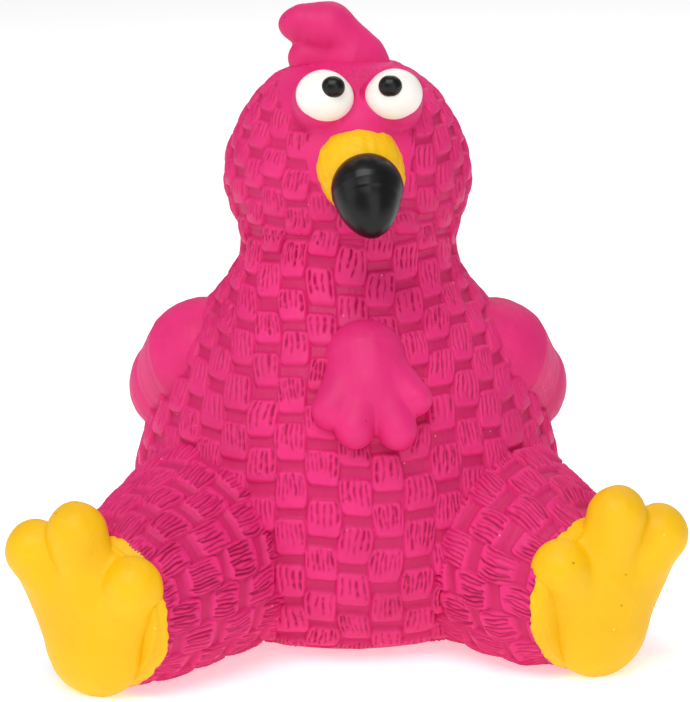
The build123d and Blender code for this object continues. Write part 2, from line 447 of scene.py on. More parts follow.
def sheet(name: str, columns: int, rows: int) -> Tuple[Piece, Array, Array]:
    """Adds a flat grid to be wrapped round a form.

    Args:
        name: name of the piece.
        columns: faces across.
        rows: faces up.

    Returns:
        The piece, and each vertex's place across and up, from 0 to 1.
    """
    deselect()
    bpy.ops.mesh.primitive_grid_add(x_subdivisions=columns, y_subdivisions=rows, size=2)
    piece = bpy.context.object
    piece.name = piece.data.name = name
    flat = read_points(piece)
    across = np.rint((flat[:, 0] + 1) / 2 * columns) / columns
    up = np.rint((flat[:, 1] + 1) / 2 * rows) / rows
    return piece, across, up


def close_sheet(piece: Piece, heart: Optional[Point]) -> None:
    """Welds a wrapped sheet and closes what is still open towards one point inside.

    Args:
        piece: the wrapped sheet.
        heart: the point in metres, or nothing where welding already closes it.
    """
    deselect()
    bpy.context.view_layer.objects.active = piece
    piece.select_set(True)
    bpy.ops.object.mode_set(mode="EDIT")
    bpy.ops.mesh.select_mode(type="VERT")
    bpy.ops.mesh.select_all(action="SELECT")
    bpy.ops.mesh.remove_doubles(threshold=2e-6)
    if heart is not None:
        bpy.ops.mesh.select_mode(type="EDGE")
        bpy.ops.mesh.select_all(action="DESELECT")
        bpy.ops.mesh.select_non_manifold(
            use_wire=False, use_boundary=True, use_multi_face=False, use_non_contiguous=False, use_verts=False
        )
        bpy.ops.mesh.mark_sharp()
        bpy.ops.mesh.extrude_edges_indiv()
        bpy.ops.transform.resize(value=(0, 0, 0), center_override=heart)
        bpy.ops.mesh.merge(type="CENTER")
    bpy.ops.mesh.select_all(action="SELECT")
    bpy.ops.mesh.normals_make_consistent(inside=False)
    bpy.ops.object.mode_set(mode="OBJECT")
    bpy.ops.object.shade_smooth()
    bpy.ops.object.select_all(action="DESELECT")


def dress(piece: Piece, slot: Slot, nodes: Sequence[str]) -> None:
    """Gives a piece its finish and hides the CAD nodes that it stands for."""
    piece.data.materials.clear()
    piece.data.materials.append(finish(slot))
    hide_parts(*nodes)


def curve(points: Sequence[Tuple[float, float]], step: float) -> Tuple[Array, Array, Array, Array, Array]:
    """Runs a smooth curve through points of a profile.

    Args:
        points: radius and height of each point, from low to high.
        step: length of a step along the curve.

    Returns:
        Length so far, radius, height, and the two parts of the outward normal, at each step.
    """
    given = np.array(points, float)
    padded = np.vstack([2 * given[0] - given[1], given, 2 * given[-1] - given[-2]])
    share = np.linspace(0, 1, 60, endpoint=False)[:, None]
    runs = []
    for a, b, c, d in zip(padded, padded[1:], padded[2:], padded[3:]):
        runs.append(
            0.5 * (2 * b + (c - a) * share + (2 * a - 5 * b + 4 * c - d) * share**2
                   + (3 * b - a - 3 * c + d) * share**3)
        )
    dense = np.vstack(runs + [given[-1:]])
    along = np.concatenate([[0], np.cumsum(np.linalg.norm(np.diff(dense, axis=0), axis=1))])
    length = np.linspace(0, along[-1], int(along[-1] / step) + 2)
    radius, height = np.interp(length, along, dense[:, 0]), np.interp(length, along, dense[:, 1])
    dr, dz = np.gradient(radius, length), np.gradient(height, length)
    size = np.hypot(dr, dz)
    return length, radius, height, dz / size, -dr / size


# ---- the basket weave ----
@dataclass(frozen=True)
class Weave:
    """A hand-cut basket weave: padded tiles, half a tile apart from column to column, each combed by a few
    wavering slits, with a smooth sunk band between a tile and the next."""

    seed: int
    tile_mm: float = 7.9  # length of a tile along its column
    height: float = 1.35  # from the sunk band to a tile's crown
    slits: Tuple[int, int] = (4, 7)
    slit_width: float = 0.23
    slit_reach: Tuple[float, float] = (0.2, 0.7)  # how far below the middle slits end, in half tiles
    steady: float = 0.55  # depth that is left where a slit breaks off
    slit_depth: float = 0.8
    corner: float = 1.25  # radius of a tile's corners
    crown: float = 0.38  # how far a tile swells towards its middle
    crease: float = 0.42  # depth of the crease that the tool leaves round a tile
    wrap: int = 0  # columns that go right round, where the weave meets itself

    def relief(self, u: Array, v: Array, pitch: Array, period: Array) -> Tuple[Array, Array]:
        """Height of the weave.

        Args:
            u: place across in columns.
            v: place along a column in tiles.
            pitch: width of a column in millimetres at each place.
            period: length from one tile to the next in millimetres.

        Returns:
            Height above the sunk bands in millimetres, and how much painted shade a place gets, from 0 to 1.
        """
        u = u + 0.05 * np.sin(1.9 * v + self.seed) + 0.035 * np.sin(4.3 * v + 1.7 * u)
        v = v + 0.05 * np.sin(1.3 * u + 2 * self.seed)
        home = np.floor(u)
        best = np.full(u.shape, -9.0)
        cleft = np.zeros(u.shape)
        for shift in (-1, 0, 1):
            height, dark = self.tile(home + shift, u, v, pitch, period)
            if shift:
                height = height - 0.05
            higher = height > best
            best = np.where(higher, height, best)
            cleft = np.where(higher, dark, cleft)
        return best, cleft

    def tile(self, column: Array, u: Array, v: Array, pitch: Array, period: Array) -> Tuple[Array, Array]:
        """Height and painted shade of the nearest tile of one column.

        Args:
            column: number of the column at each place.
            u: place across in columns.
            v: place along in tiles.
            pitch: width of a column.
            period: length from tile to tile.

        Returns:
            Height above the sunk bands, and painted shade.
        """
        i = np.mod(column, self.wrap) if self.wrap else column
        i = i.astype(np.int64)
        along = v + 0.5 * np.mod(i, 2) + 0.1 * (chance(i, 0 * i, self.seed) - 0.5)
        j = np.floor(along).astype(np.int64)

        def pick(salt: int) -> Array:
            """A random number of this tile, from -0.5 to 0.5."""
            return chance(i, j, self.seed * 31 + salt) - 0.5

        half_long = (self.tile_mm / 2 + 0.3) * (1 + 0.12 * pick(1))
        y = (along - j - 0.5) * period + 0.6 * pick(2)
        x = (u - column - 0.5) * pitch + 0.35 * pick(3) + y * 0.16 * pick(4)
        half_wide = pitch / 2 * (1.07 + 0.07 * pick(5)) * (1.03 - 0.12 * (y / half_long) ** 2)
        dx, dy = np.abs(x) - half_wide + self.corner, np.abs(y) - half_long + self.corner
        inner = np.minimum(np.maximum(dx, dy), 0)
        edge = np.hypot(np.maximum(dx, 0), np.maximum(dy, 0)) + inner - self.corner
        body = smooth(0.18, -0.62, edge)
        swollen = np.clip(1 - (x / half_wide) ** 2, 0, 1) * np.clip(1 - (y / half_long) ** 2, 0, 1)
        top = self.height * (0.80 + 0.25 * pick(6))
        height = top * body + self.crown * swollen * body
        crease = np.exp(-(((edge - 0.4) / 0.26) ** 2)) * (0.6 + 0.6 * chance(i, j, self.seed * 31 + 9))
        height = height - self.crease * crease + 0.12 * smooth(0.6, 1.6, edge)
        cut = self.cuts(i, j, x, y, half_wide, half_long) * smooth(0.0, -0.55, edge)
        # Painted shade: darker in the sunk bands, in the creases round a tile and in the slits, where shade
        # falls.
        dark = np.clip(0.45 * (1 - body) + 0.55 * crease + 0.95 * cut, 0, 1)
        return height - self.slit_depth * cut, dark

    def cuts(self, i: Array, j: Array, x: Array, y: Array, half_wide: Array, half_long: Array) -> Array:
        """Depth of the slits in a tile, from 0 to 1.

        Args:
            i: column of the tile.
            j: row of the tile.
            x: place across from the tile's middle.
            y: place along from the tile's middle.
            half_wide: half the tile's width.
            half_long: half the tile's length.

        Returns:
            The depth at each place.
        """
        least, most = self.slits
        count = least + np.floor(chance(i, j, self.seed + 70) * (most - least + 0.99))
        lean = 0.16 * (chance(i, j, self.seed + 71) - 0.5)
        deep = np.zeros(x.shape)
        for k in range(most):
            salt = self.seed * 17 + 100 + 5 * k
            wander, start, reach, force = (chance(i, j, salt + step) for step in range(4))
            middle = half_wide * (-0.86 + 1.72 * (k + 0.5) / count) + 0.34 * (wander - 0.5)
            middle += 0.17 * np.sin(0.8 * y + 6.3 * wander) + 0.04 * np.sin(2.3 * y + 9 * start) + lean * y
            low, high = self.slit_reach
            top, bottom = half_long * (0.99 - 0.25 * start), -half_long * (low + (high - low) * reach)
            run = smooth(0, 0.7, top - y) * smooth(0, 1.1, y - bottom)
            beat = np.sin((1.6 + start) * y + 12 * force)
            broken = self.steady + (1 - self.steady) * smooth(-0.75, -0.2, beat)
            line = np.exp(-(((x - middle) / self.slit_width / (0.8 + 0.5 * force)) ** 2))
            deep = np.maximum(deep, (k < count) * (0.55 + 0.45 * force) * run * broken * line)
        return deep


# ---- body and head skin ----
# Plain ovals round the eyes and round the beak: height of the middle, half width and half height.
PLAIN_OVALS = [(124.5, 16.5, 9.0), (112.0, 11.5, 11.5)]
# Balls that swell the brow round each eye and bridge them over the beak: middle and radius.
BROW_BALLS = [(-7.6, -18.7, 123.5, 7.2), (7.5, -18.8, 123.3, 7.2), (0.2, -18.6, 116.8, 8.3)]
BROW_MELT = 0.7  # how softly they run into the head


@dataclass
class Skin:
    """The woven skin of the body and the head. It is one moulding, so both come from one outline."""

    seat_radius: float = 34.0
    squeaker_y: float = 12.0
    recess_radius: float = 13.2
    neck_radius: float = 10.2
    recess_depth: float = 1.8
    wall: float = 4.6  # thickness of the ring round the squeaker
    sunk: float = 1.05  # how far the sunk bands lie below the outline
    body_step: float = 0.36  # millimetres from row to row
    join_z: float = 93.2  # the body's piece ends here and the head's begins
    bend: Tuple[float, float] = (80.0, 95.0)  # two heights at the neck
    head_z: float = 102.8
    side_seam: float = math.radians(106)  # bearing of the mould seams, between front weave and back weave
    column_mm: float = 7.35  # width of a column low on the body
    period_mm: float = 10.7  # length from tile to tile on the body
    fade_mm: float = 9.0  # how far to each side of the join the body's weave runs into the head's
    nape_mm: float = 28.8  # radius that the head's columns are partly measured on

    def __post_init__(self) -> None:
        """Runs the outline through its points and finds where the pieces meet."""
        outline = [
            (self.seat_radius, 0.0), (41.6, 3.6), (46.6, 10.2), (49.8, 18.4), (50.7, 26.0), (50.1, 33.0),
            (48.3, 43.0), (45.3, 53.0), (41.0, 62.0), (35.6, 71.0), (29.8, 78.0), (26.0, 83.5), (24.9, 88.5),
            (25.9, 93.2), (27.6, 98.0), (28.6, 103.0), (28.0, 109.0), (26.2, 114.6), (23.2, 120.0),
            (19.2, 124.9), (14.0, 128.7), (7.4, 131.0), (0.4, 131.6),
        ]
        self.length, self.radius, self.height, self.out, self.up = curve(outline, 0.1)
        self.join = float(np.interp(self.join_z, self.height, self.length))
        self.weave = Weave(seed=3)
        self.head_weave = Weave(11, tile_mm=6.6, height=1.2, slits=(4, 6), slit_reach=(0.0, 0.6), steady=0.75)

    def at(self, s: Array) -> Tuple[Array, Array, Array, Array]:
        """Radius, height and outward normal of the outline at a length along it."""
        lines = (self.radius, self.height, self.out, self.up)
        return tuple(np.interp(s, self.length, line) for line in lines)

    def columns(self, theta: Array, s: Array, r: Array) -> Tuple[Array, Array, Array, Array]:
        """Where a place lies in the weave.

        Args:
            theta: bearing from straight ahead, from minus to plus half a turn.
            s: length along the outline.
            r: radius there.

        Returns:
            Column, tile along it, the column's width and the tiles' spacing.
        """
        fade = (self.join - self.fade_mm, self.join + self.fade_mm)
        head = smooth(*fade, s)
        pitch = self.column_mm - 0.45 * smooth(40, 75, s) - 0.5 * head
        girth = r * (1 - 0.35 * head) + self.nape_mm * 0.35 * head
        period = self.period_mm - 1.6 * head
        grid = np.arange(0, 300, 0.1)
        tiles = np.cumsum(0.1 / (self.period_mm - 1.6 * smooth(*fade, grid)))
        v = np.interp(s, grid, tiles)
        behind = np.abs(theta) > self.side_seam
        facing = np.where(behind, theta - np.copysign(math.pi, theta), theta - 0.03)
        return facing * girth / pitch + 0.5 + 60 * behind, v, pitch, period

    def place(self, theta: Array, s: Array) -> Tuple[Array, Array]:
        """Puts the skin's surface at bearings and lengths.

        Args:
            theta: bearing in radians, from straight ahead to the bird's left.
            s: length along the outline; less than zero runs over the seat into the squeaker's hole.

        Returns:
            Points in millimetres, and how much painted shade each gets.
        """
        theta = np.mod(theta + math.pi, 2 * math.pi) - math.pi
        along = np.maximum(s, 0)
        r, z, out, up = self.at(along)
        u, v, pitch, period = self.columns(theta, along, r)
        low, dark_low = self.weave.relief(u, v, pitch, period)
        high, dark_high = self.head_weave.relief(u, v, pitch, period)
        on_head = smooth(self.join - 1, self.join + 1, along)
        height = low + (high - low) * on_head
        # The two weaves' painted shade, blended like their heights.
        dark = dark_low + (dark_high - dark_low) * on_head
        flat = ring(r, theta, z)
        shown = self.woven(theta, along, flat, r)
        lump = 0.28 * swell(flat, 46, 1.0) + 0.12 * swell(flat, 13, 2.0)
        rough = 0.06 * swell(flat, 2.6, 3.0)
        plain = 0.95 + 0.05 * swell(flat, 9, 5.0)
        edge = np.hypot(flat[:, 0] - 1.5, 0.85 * flat[:, 1])
        strip = smooth(8.5, 9.6, edge) * smooth(13.0, 11.6, edge) * smooth(126.5, 128, z) * (flat[:, 1] < 0)
        pits = swell(flat, 1.9, 8.0) * 0.34 + 0.3 * swell(flat, 4.4, 9.0) - 0.25
        lift = plain + (height - plain) * shown + lump + rough * shown + pits * strip - self.sunk
        lift = lift * smooth(-0.2, 3.5, s)
        r, z = r + out * lift, z + up * lift
        points = self.brow(ring(r, theta, np.maximum(z, 0.02)))
        seat = s < 0
        points[seat] = self.seat(theta[seat], -s[seat])
        return points, dark * shown

    def seat(self, theta: Array, inward: Array) -> Array:
        """The flat seat, and the stepped hole for the squeaker.

        Args:
            theta: bearing.
            inward: length from the seat's edge inwards.

        Returns:
            Points in millimetres.
        """
        flat = self.seat_radius - self.recess_radius
        stops = np.cumsum([0, flat, self.recess_depth, self.recess_radius - self.neck_radius, self.wall])
        radii = [self.seat_radius, self.recess_radius, self.recess_radius, self.neck_radius, self.neck_radius]
        heights = [0.0, 0.0, self.recess_depth, self.recess_depth, self.wall + self.recess_depth]
        r = np.interp(inward, stops, radii)
        shift = self.squeaker_y * np.interp(inward, [0, flat], [0, 1])
        return np.stack([r * np.sin(theta), shift - r * np.cos(theta), np.interp(inward, stops, heights)], 1)

    def woven(self, theta: Array, s: Array, flat: Array, r: Array) -> Array:
        """How much of the weave shows: none on the seat, on the face, under the crest or on the side seams.

        Args:
            theta: bearing.
            s: length along the outline.
            flat: points on the outline.
            r: radius.

        Returns:
            From 0 to 1 at each place.
        """
        shown = smooth(1.0, 3.5, s)
        shown = shown * smooth(0.3, 1.5, np.abs(np.abs(theta) - self.side_seam) * r)
        c, k = math.cos(FACE_TURN), math.sin(FACE_TURN)
        x, y, z = c * flat[:, 0] + k * flat[:, 1], -k * flat[:, 0] + c * flat[:, 1], flat[:, 2]
        ragged = 0.07 * swell(flat, 11, 7.0)
        face = np.minimum(*(np.hypot(x / wide, (z - mid) / tall) + ragged for mid, wide, tall in PLAIN_OVALS))
        shown = shown * np.where(y < 0, smooth(0.98, 1.10, face), 1.0)
        under_crest = np.hypot(flat[:, 0] + 2.0, 0.8 * flat[:, 1]) + 14 * ragged
        return shown * np.where(z > 125, smooth(11.5, 14.0, under_crest), 1.0)

    def brow(self, points: Array) -> Array:
        """Swells the plain brow round the eyes and the bridge over the beak.

        Args:
            points: points in millimetres.

        Returns:
            The moved points.
        """
        centre = np.array([0, 0, self.head_z])
        ray = points - centre
        far = np.linalg.norm(ray, axis=1)
        ray = ray / far[:, None]
        keep = 40  # holds the exponents in range
        total = np.exp(far / BROW_MELT - keep)
        for x, y, z, ball in BROW_BALLS:
            middle = np.array(turned((x, y, z))) - centre
            along = ray @ middle
            inside = along**2 - middle @ middle + ball**2
            reach = np.where(inside > 0, along + np.sqrt(np.maximum(inside, 0)), 0)
            total = total + np.where(points[:, 2] > 100, np.exp(reach / BROW_MELT - keep), 0)
        moved = BROW_MELT * (np.log(total) + keep)
        return centre + ray * np.maximum(moved, far)[:, None]

    def torso_rows(self) -> Array:
        """Lengths along the outline of the body's rows, from the squeaker's hole to the neck."""
        hole = [-31.6, -27.2, -26.6, -25.2, -23.9, -22.8, -22.4, -21.0, -20.6, -19.0]
        seat = [-14.0, -9.0, -4.0, -1.2]
        return np.concatenate([hole, seat, np.linspace(0, self.join, int(self.join / self.body_step))])

    def patch(self, name: str, turn: Tuple[float, float], rows: Array, columns: int) -> Piece:
        """Makes a closed piece of the body's skin.

        Args:
            name: name of the piece.
            turn: bearings in degrees between which it lies.
            rows: lengths along the outline.
            columns: faces across.

        Returns:
            The piece.
        """
        piece, across, up = sheet(name, columns, len(rows) - 1)
        theta = np.radians(turn[0] + (turn[1] - turn[0]) * across)
        points, dark = self.place(theta, rows[np.rint(up * (len(rows) - 1)).astype(int)])
        write_points(piece, points * MM, dark)
        close_sheet(piece, (0, 0, float(points[:, 2].mean()) * MM))
        return piece

    def build_torso(self) -> List[Piece]:
        """Makes the body's skin: two pieces in front, which is seen closest, and one behind.

        Returns:
            The pieces.
        """
        rows = self.torso_rows()
        half = len(rows) // 2
        plan = [
            ("torso_skin_belly", (-90, 90), rows[: half + 1], 640),
            ("torso_skin_chest", (-90, 90), rows[half:], 640),
            ("torso_skin_back", (90, 270), rows, 310),
        ]
        made = []
        for name, turn, part, columns in plan:
            piece = self.patch(name, turn, part, columns)
            dress(piece, Slot.PINK, ["torso_skin"])
            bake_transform(piece)
            made.append(piece)
        return made

    def build_head(self) -> Piece:
        """Makes the head's skin, which starts a little way down inside the neck.

        Returns:
            The piece.
        """
        tucked = [self.join - 4.0, self.join - 3.9]
        rows = np.concatenate([tucked, np.linspace(self.join - 3.8, self.length[-1], 152)])
        piece, across, up = sheet("head_skin_woven", 624, len(rows) - 1)
        row = np.rint(up * (len(rows) - 1)).astype(int)
        points, dark = self.place((across * 2 - 1) * math.pi, rows[row])
        first, last = row == 0, row == len(rows) - 1
        tuck = 1 - 0.045 * smooth(self.join + 0.1, self.join - 2.5, rows[row])
        points[:, :2] *= np.where(first | last, 0.0, tuck)[:, None]
        points[first, 2] = points[row == 1, 2].mean()
        points[last, 2] = points[last, 2].mean()
        write_points(piece, points * MM, dark)
        close_sheet(piece, None)
        dress(piece, Slot.PINK, ["head_skin"])
        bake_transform(piece)
        return piece


# ---- legs ----
TOES = [(14.4, 19.2, 6.5), (3.9, 24.5, 6.5), (-9.9, 14.2, 6.3)]  # out, up and radius of each toe's ball


@dataclass
class Leg:
    """A woven leg with its painted foot. The bird sits, so the leg lies on the floor and is flat below."""

    side: Side
    hip: Point
    heel: Point
    foot_turn: float  # bearing that the sole faces
    rows: int = 168
    around: int = 560
    columns: int = 18
    period_mm: float = 11.2  # length from tile to tile
    root: float = -7.0  # where the skin starts, inside the body, measured from the hip
    hip_reach: float = 24.0  # a length along the leg from the hip

    def name(self, part: str) -> str:
        """A piece's name with the leg's side."""
        return f"{self.side.name.lower()}_{part}"

    def body(self) -> Body:
        """The body that the leg rides on."""
        return Body.LEFT_LEG if self.side is Side.LEFT else Body.RIGHT_LEG

    def frame(self) -> Tuple[Array, Array, Array, float]:
        """The leg's own frame.

        Returns:
            The hip, the way ahead along the leg, the way across, and the leg's length.
        """
        hip, heel = np.array(self.hip), np.array(self.heel)
        run = (heel - hip) * [1, 1, 0]
        reach = float(np.linalg.norm(run))
        ahead = run / reach
        return hip, ahead, np.array([-ahead[1], ahead[0], 0.0]), reach - 2.5

    def section(self, phi: Array, t: Array) -> Tuple[Array, Array, Array]:
        """Where the leg's surface lies before it is woven.

        Args:
            phi: angle round the leg, from its bottom.
            t: length along it from the hip.

        Returns:
            Middle of the section, the way outwards, and the radius.
        """
        hip, ahead, across, end = self.frame()
        outer = self.side.value * np.sign(across[0])
        stops = [self.root, 0, 14, 26, 38, end - 7, end - 2, end]
        radius = np.interp(t, stops, [19.0, 22.6, 23.4, 22.6, 21.0, 18.9, 17.4, 16.2])
        height = np.interp(t, [self.root, 0, 20, end], [24.0, 23.6, 21.6, 17.6])
        upper_outer = np.clip(np.cos(phi) * outer * 0.75 + np.sin(phi) * 0.66, 0, 1)
        radius = radius * (1 + 0.14 * upper_outer * np.exp(-(((t - 15) / 15) ** 2)))
        centre = hip * [1, 1, 0] + ahead * t[:, None] + height[:, None] * [[0, 0, 1]]
        return centre, np.cos(phi)[:, None] * across + np.sin(phi)[:, None] * [[0, 0, 1]], radius

    def build_skin(self) -> Piece:
        """Makes the woven skin as a tube from inside the body to inside the foot.

        Returns:
            The piece.
        """
        end = self.frame()[3]
        piece, a, b = sheet(self.name("leg_skin_woven"), self.around, self.rows)
        row = np.rint(b * self.rows).astype(int)
        phi = a * 2 * math.pi - math.pi / 2
        t = self.root + (end - self.root) * np.clip((row - 1) / (self.rows - 2), 0, 1)
        centre, spoke, radius = self.section(phi, t)
        girth = radius * 2 * math.pi / self.columns
        weave = Weave(
            23 + self.side.value, tile_mm=8.2, slits=(6, 8), slit_reach=(0.55, 0.98), steady=0.9,
            wrap=self.columns,
        )
        u, v = (phi + math.pi / 2) * self.columns / (2 * math.pi), t / self.period_mm + 0.2
        lift, dark = weave.relief(u, v, girth, np.full(t.shape, self.period_mm))
        flat = centre + spoke * radius[:, None]
        from_seam = np.minimum(a, 1 - a) * 2 * math.pi * radius
        shown = smooth(end - 0.6, end - 2.6, t) * smooth(0.3, 1.6, from_seam)
        lump = 0.45 * swell(flat, 38, 4.0 + self.side.value) + 0.1 * swell(flat, 9, 2.0)
        rough = 0.06 * swell(flat, 2.4, 1.0)
        lift = 0.5 + (lift - 0.5) * shown + lump + rough - 1.1
        points = flat + spoke * lift[:, None]
        tip = (row == 0) | (row == self.rows)
        points[tip] = centre[tip]
        floor, low = 0.35 + 0.25 * (1 - dark), 2.5
        pressed = low - (low - floor) * np.tanh((low - points[:, 2]) / 2.3)
        points[:, 2] = np.where(points[:, 2] < low, pressed, points[:, 2])
        # The weave's painted shade, none where the weave doesn't show, goes to the latex colour.
        write_points(piece, points * MM, dark * shown)
        close_sheet(piece, None)
        dress(piece, Slot.PINK, [self.name("leg_skin")])
        hip, ahead = self.frame()[:2]
        self.body().value
        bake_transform(piece)
        return piece

    def foot_point(self, out: float, up: float, fore: float = 0.0) -> Point:
        """A point of the foot.

        Args:
            out: away from the bird's middle, in millimetres from the heel's centre.
            up: above the heel's centre.
            fore: ahead of the foot's middle plane, towards the sole.

        Returns:
            The point in millimetres.
        """
        face = self.facing()
        aside = np.array([-face[1], face[0], 0]) * self.side.value
        point = np.array(self.heel) + aside * out + face * fore + np.array([0, 0, up])
        return tuple(float(c) for c in point)

    def build_foot(self) -> Piece:
        """Makes the mitten-like foot with three toes, and the ragged lap of paint behind it.

        Returns:
            The piece.
        """
        at = self.foot_point
        cones = [
            (at(0, 0, -0.6), at(1.2, 9, -0.6), 10.9, 10.8, 1.62),
            (at(1, 4, -1.0), at(9.4, 19.2, -1.4), 9.4, 4.6, 1.8),
            (at(0, 4, -1.0), at(-4.4, 16.0, -1.4), 9.0, 4.6, 1.8),
        ]
        for out, up, size in TOES:
            cones.append((at(0, 0, -0.6), at(out, up, -0.8), 11.1, size + 0.2, 1.62))
            cones.append((at(0.42 * out, 0.42 * up, -0.3), at(out, up, 0.2), size - 1.5, size, 1.0))
        foot = blob(self.name("foot_mitten"), at(1.2, 5.0), cones, 0.6, 0.12, squash=self.facing())
        points = read_points(foot)
        points[:, 2] = np.maximum(points[:, 2], -FOOT_SINK)
        write_points(foot, points)
        cuff = self.cuff()
        deselect()
        for part in (cuff, foot):
            part.select_set(True)
        bpy.context.view_layer.objects.active = foot
        bpy.ops.object.join()
        dress(foot, Slot.YELLOW, [self.name("foot")])
        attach(foot, self.body().value)
        return foot

    def facing(self) -> Array:
        """Unit vector that the sole faces."""
        angle = math.radians(self.foot_turn)
        return np.array([math.sin(angle), -math.cos(angle), 0])

    def cuff(self) -> Piece:
        """A thin lap of paint over the end of the leg, with a ragged edge.

        Returns:
            The lap, to be joined to the foot.
        """
        rows, end = 14, self.frame()[3]
        lap, a, b = sheet(self.name("cuff"), 260, rows)
        row = np.rint(b * rows).astype(int)
        phi = a * 2 * math.pi - math.pi / 2
        turn = np.stack([np.cos(phi), np.sin(phi), 0 * phi], 1) * 20
        edge = end - 2.3 - 0.8 * swell(turn, 17, 3.0) - 0.45 * swell(turn, 5, 5.0)
        t = edge + (end + 0.6 - edge) * np.clip((row - 2) / (rows - 5), 0, 1)
        centre, spoke, radius = self.section(phi, t)
        proud = np.interp(row, [0, 1, 2, 3, rows - 3, rows - 2, rows], [-18, -2.5, -0.8, 0.1, 0.1, -1.5, -18])
        points = centre + spoke * np.maximum(radius + proud, 0.0)[:, None]
        tip = (row == 0) | (row == rows)
        points[tip] = centre[tip]
        for last in (0, rows):
            points[row == last] = points[row == last].mean(axis=0)
        points[:, 2] = np.maximum(points[:, 2], 0.3)
        write_points(lap, points * MM)
        close_sheet(lap, None)
        return lap


def blob(
    name: str, heart: Point, cones: Sequence[Tuple], melt: float, ragged: float, fineness: int = 7,
    squash: Optional[Array] = None,
) -> Piece:
    """Pushes a ball out from its heart until it meets a soft union of rounded cones.

    Args:
        name: name of the piece.
        heart: a point in millimetres that lies in every cone.
        cones: start, end, the two radii, and how much thinner the cone is along the squash direction.
        melt: how softly the cones run together, in millimetres.
        ragged: height of the hand-made unevenness, in millimetres.
        fineness: subdivisions of the ball.
        squash: direction in which a cone may be thinner.

    Returns:
        The piece.
    """
    deselect()
    bpy.ops.mesh.primitive_ico_sphere_add(subdivisions=fineness, radius=1)
    piece = bpy.context.object
    piece.name = piece.data.name = name
    ray = read_points(piece)
    ray /= np.linalg.norm(ray, axis=1)[:, None]
    centre = np.array(heart)

    def field(far: Array) -> Array:
        """Signed distance to the soft union at a distance along each ray."""
        points = centre + ray * far[:, None]
        total = np.zeros(len(far))
        for start, end, start_r, end_r, *thin in cones:
            a, b = np.array(start, float), np.array(end, float)
            offset = points - a
            line = b - a
            if squash is not None and thin:
                offset = offset + squash * ((offset @ squash) * (thin[0] - 1))[:, None]
                line = line + squash * ((line @ squash) * (thin[0] - 1))
            share = np.clip(offset @ line / max(line @ line, 1e-9), 0, 1)
            reach = start_r + share * (end_r - start_r)
            gap = np.linalg.norm(offset - share[:, None] * line, axis=1) - reach
            total += np.exp(-np.clip(gap / melt, -60, 60))
        return -melt * np.log(total)

    near, far = np.zeros(len(ray)), np.full(len(ray), FAR_MM)
    for _ in range(HALVINGS):
        middle = (near + far) / 2
        inside = field(middle) < 0
        near, far = np.where(inside, middle, near), np.where(inside, far, middle)
    points = centre + ray * near[:, None]
    lump = ragged * (swell(points, 14, len(name)) + 0.5 * swell(points, 5.5, 2.0 * len(name)))
    points = centre + ray * (near + lump)[:, None]
    write_points(piece, points * MM)
    bpy.ops.object.shade_smooth()
    deselect()
    return piece


# ---- plain sculpted latex and paint ----
@dataclass(frozen=True)
class Form:
    """A plain rounded piece: cones that run together round one heart. Every place is in millimetres."""

    name: str
    node: str
    body: Body
    slot: Slot
    heart: Point
    cones: Sequence[Tuple]
    melt: float
    ragged: float
    faced: bool = False  # drawn looking straight ahead, then turned with the face
    fineness: int = 7
    squash: Optional[Array] = None
    bend: Optional[Tuple[float, float]] = None  # heights on the head; a piece with them is baked in place, not hung on its body

    def build(self) -> Piece:
        """Makes the piece and hangs it on its body, or bakes it in place if it has a bend.

        Returns:
            The piece.
        """
        put = turned if self.faced else tuple
        cones = [(put(start), put(end), *sizes) for start, end, *sizes in self.cones]
        piece = blob(self.name, put(self.heart), cones, self.melt, self.ragged, self.fineness, self.squash)
        dress(piece, self.slot, [self.node])
        if self.bend:
            low, high = ((0, 0, z * MM) for z in self.bend)
            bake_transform(piece)
            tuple(low)
            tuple(high)
        else:
            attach(piece, self.body.value)
        return piece


